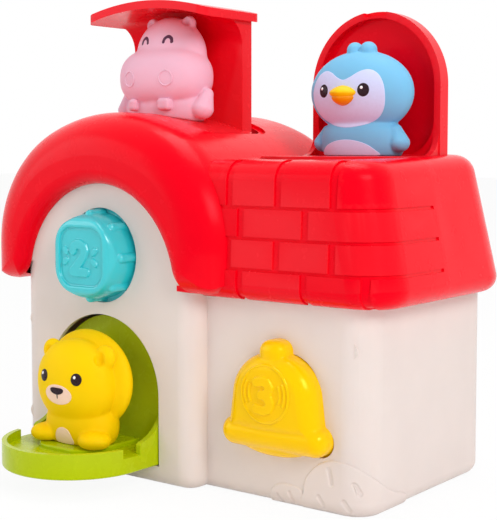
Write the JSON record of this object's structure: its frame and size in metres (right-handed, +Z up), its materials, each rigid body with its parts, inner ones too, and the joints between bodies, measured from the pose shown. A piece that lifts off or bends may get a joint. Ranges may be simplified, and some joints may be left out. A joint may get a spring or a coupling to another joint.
{
  "type": "pop up animal toy",
  "caption": "Toy house with a red roof; a hippo, a penguin and a lion pop up when its knob, bell and slider are worked.",
  "frame": {"origin": "middle of the house's footprint (walls only), on the table", "axes": "+X along the house from tower to wing, +Y from front to back, +Z up"},
  "size_m": [0.2459, 0.1896, 0.2437],
  "materials": {
    "cream_plastic": "satin",
    "red_plastic": "satin gloss",
    "turquoise_plastic": "gloss",
    "yellow_plastic": "gloss",
    "green_plastic": "gloss",
    "pink_vinyl": "soft matte",
    "blue_vinyl": "soft matte",
    "yellow_vinyl": "soft matte",
    "orange_vinyl": "soft matte",
    "white_inner_plastic": "matte",
    "spring_steel": "bright drawn",
    "screw_steel": "zinc plated"
  },
  "bodies": {
    "house": {"front_shell": "cream_plastic", "back_shell": "cream_plastic", "base_plate": "cream_plastic", "roof_front": "red_plastic", "roof_back": "red_plastic", "case_screws": "screw_steel", "roof_screws": "screw_steel", "knob_carrier": "white_inner_plastic", "knob_carrier_screws": "screw_steel", "bell_carrier": "white_inner_plastic", "bell_carrier_screws": "screw_steel", "lift_frame": "white_inner_plastic", "lift_frame_screws": "screw_steel", "lift_guide_rod": "spring_steel", "lift_spring": "spring_steel", "lift_latch": "white_inner_plastic", "door_spring": "spring_steel", "door_latch": "white_inner_plastic", "flap_hinge_pin": "spring_steel", "flap_spring": "spring_steel", "flap_latch": "white_inner_plastic", "slider_spring": "spring_steel", "knob_spring": "spring_steel", "bell_spring": "spring_steel"},
    "lift": {"lift_hood": "red_plastic", "lift_platform": "red_plastic", "lift_carriage": "red_plastic", "hippo": "pink_vinyl"},
    "flap": {"flap_lid": "red_plastic", "penguin": "blue_vinyl", "penguin_beak": "orange_vinyl"},
    "door": {"door_tray": "green_plastic", "lion": "yellow_vinyl"},
    "knob": {"turn_knob": "turquoise_plastic", "knob_spindle": "turquoise_plastic", "knob_cam": "white_inner_plastic", "knob_screw": "screw_steel"},
    "bell": {"bell_button": "yellow_plastic", "bell_stem": "yellow_plastic"},
    "slider": {"slider_button": "turquoise_plastic", "slider_link": "white_inner_plastic"}
  },
  "joints": [
    {"name": "lift_slide", "type": "slide", "parent": "house", "child": "lift", "axis": [0, 0, 1], "range_m": [-0.0584, 0], "stiffness_N_per_m": 30, "springref_m": 0.08, "deforming": ["lift_spring", "lift_latch"]},
    {"name": "flap_hinge", "type": "hinge", "parent": "house", "child": "flap", "pos_m": [0.05615, 0.03815, 0.1596], "axis": [1, 0, 0], "range_deg": [0, 90], "stiffness_Nm_per_rad": 0.03, "springref_deg": -68.75, "deforming": ["flap_spring", "flap_latch"]},
    {"name": "door_hinge", "type": "hinge", "parent": "house", "child": "door", "pos_m": [-0.04585, -0.05485, 0.0184], "axis": [-1, 0, 0], "range_deg": [0, 90], "stiffness_Nm_per_rad": 0.012, "springref_deg": -34.38, "deforming": ["door_spring", "door_latch"]},
    {"name": "knob_turn", "type": "hinge", "parent": "house", "child": "knob", "pos_m": [-0.04585, -0.06325, 0.1127], "axis": [0, -1, 0], "range_deg": [-45, 45], "stiffness_Nm_per_rad": 0.05, "deforming": ["knob_spring", "lift_latch"]},
    {"name": "bell_press", "type": "slide", "parent": "house", "child": "bell", "axis": [0, 1, 0], "range_m": [0, 0.0045], "stiffness_N_per_m": 400, "springref_m": -0.003, "deforming": ["bell_spring", "flap_latch"]},
    {"name": "slider_push", "type": "slide", "parent": "house", "child": "slider", "axis": [0, 1, 0], "range_m": [0, 0.008], "stiffness_N_per_m": 100, "springref_m": -0.006, "deforming": ["slider_spring", "door_latch"]}
  ]
}
